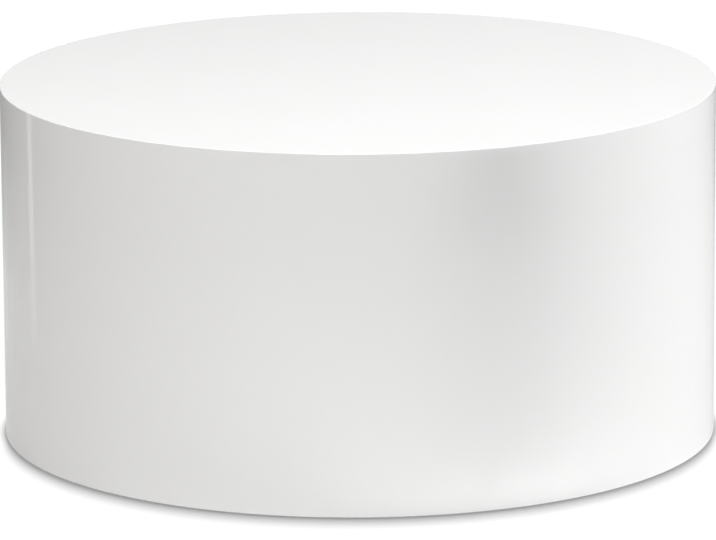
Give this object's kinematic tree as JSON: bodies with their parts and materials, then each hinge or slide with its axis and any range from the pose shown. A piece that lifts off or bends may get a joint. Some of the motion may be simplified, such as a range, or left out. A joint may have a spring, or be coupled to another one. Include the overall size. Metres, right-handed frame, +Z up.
{
  "type": "drum coffee table",
  "caption": "Low round drum coffee table in gloss white lacquer: a flush top on a full-height cylindrical wall over a hidden ply frame with screw-out levelling feet.",
  "frame": {"origin": "on the floor under the drum's axis, with the levelling feet wound fully in", "axes": "+Z up the drum's axis, -Y towards the viewer of the picture, +X to the viewer's right"},
  "size_m": [0.914, 0.914, 0.457],
  "materials": {
    "lacquered_panel": "high-gloss white lacquer on MDF, raw underneath",
    "lacquered_wall": "high-gloss white lacquer on bent plywood, raw inside",
    "birch_plywood": "sawn and sanded birch plywood",
    "pine": "planed pine",
    "zinc_plated_steel": "bright zinc plating",
    "black_nylon": "moulded black nylon"
  },
  "bodies": {
    "carcass": {"top_panel": "lacquered_panel", "wall_shell_front": "lacquered_wall", "wall_shell_back": "lacquered_wall", "wall_spline_left": "birch_plywood", "wall_spline_right": "birch_plywood", "top_ring": "birch_plywood", "mid_ring": "birch_plywood", "base_ring": "birch_plywood", "post_1": "pine", "post_2": "pine", "post_3": "pine", "post_4": "pine", "post_5": "pine", "post_6": "pine", "post_7": "pine", "post_8": "pine", "rail_across": "pine", "rail_along": "pine", "base_screw_1": "zinc_plated_steel", "base_screw_2": "zinc_plated_steel", "base_screw_3": "zinc_plated_steel", "base_screw_4": "zinc_plated_steel", "base_screw_5": "zinc_plated_steel", "base_screw_6": "zinc_plated_steel", "base_screw_7": "zinc_plated_steel", "base_screw_8": "zinc_plated_steel", "ring_screw_1": "zinc_plated_steel", "ring_screw_2": "zinc_plated_steel", "ring_screw_3": "zinc_plated_steel", "ring_screw_4": "zinc_plated_steel", "ring_screw_5": "zinc_plated_steel", "ring_screw_6": "zinc_plated_steel", "ring_screw_7": "zinc_plated_steel", "ring_screw_8": "zinc_plated_steel", "panel_screw_1": "zinc_plated_steel", "panel_screw_2": "zinc_plated_steel", "panel_screw_3": "zinc_plated_steel", "panel_screw_4": "zinc_plated_steel", "panel_screw_5": "zinc_plated_steel", "panel_screw_6": "zinc_plated_steel", "panel_screw_7": "zinc_plated_steel", "panel_screw_8": "zinc_plated_steel", "tee_nut_1": "zinc_plated_steel", "tee_nut_2": "zinc_plated_steel", "tee_nut_3": "zinc_plated_steel", "tee_nut_4": "zinc_plated_steel"},
    "pad_1": {"foot_pad_1": "black_nylon"},
    "stem_1": {"levelling_stem_1": "zinc_plated_steel"},
    "pad_2": {"foot_pad_2": "black_nylon"},
    "stem_2": {"levelling_stem_2": "zinc_plated_steel"},
    "pad_3": {"foot_pad_3": "black_nylon"},
    "stem_3": {"levelling_stem_3": "zinc_plated_steel"},
    "pad_4": {"foot_pad_4": "black_nylon"},
    "stem_4": {"levelling_stem_4": "zinc_plated_steel"}
  },
  "joints": [
    {"name": "foot_1_extend", "type": "slide", "parent": "carcass", "child": "pad_1", "axis": [0, 0, -1], "range_m": [0, 0.015]},
    {"name": "foot_1_turn", "type": "hinge", "parent": "pad_1", "child": "stem_1", "pos_m": [0.28263, 0.28263, 0.0113], "axis": [0, 0, -1], "range_deg": [0, 4320]},
    {"name": "foot_2_extend", "type": "slide", "parent": "carcass", "child": "pad_2", "axis": [0, 0, -1], "range_m": [0, 0.015]},
    {"name": "foot_2_turn", "type": "hinge", "parent": "pad_2", "child": "stem_2", "pos_m": [-0.28263, 0.28263, 0.0113], "axis": [0, 0, -1], "range_deg": [0, 4320]},
    {"name": "foot_3_extend", "type": "slide", "parent": "carcass", "child": "pad_3", "axis": [0, 0, -1], "range_m": [0, 0.015]},
    {"name": "foot_3_turn", "type": "hinge", "parent": "pad_3", "child": "stem_3", "pos_m": [-0.28263, -0.28263, 0.0113], "axis": [0, 0, -1], "range_deg": [0, 4320]},
    {"name": "foot_4_extend", "type": "slide", "parent": "carcass", "child": "pad_4", "axis": [0, 0, -1], "range_m": [0, 0.015]},
    {"name": "foot_4_turn", "type": "hinge", "parent": "pad_4", "child": "stem_4", "pos_m": [0.28263, -0.28263, 0.0113], "axis": [0, 0, -1], "range_deg": [0, 4320]}
  ],
  "couplings": [
    {"joint": "foot_1_turn", "follows": "foot_1_extend", "rad_per_m": 5026.5},
    {"joint": "foot_2_turn", "follows": "foot_2_extend", "rad_per_m": 5026.5},
    {"joint": "foot_3_turn", "follows": "foot_3_extend", "rad_per_m": 5026.5},
    {"joint": "foot_4_turn", "follows": "foot_4_extend", "rad_per_m": 5026.5}
  ]
}
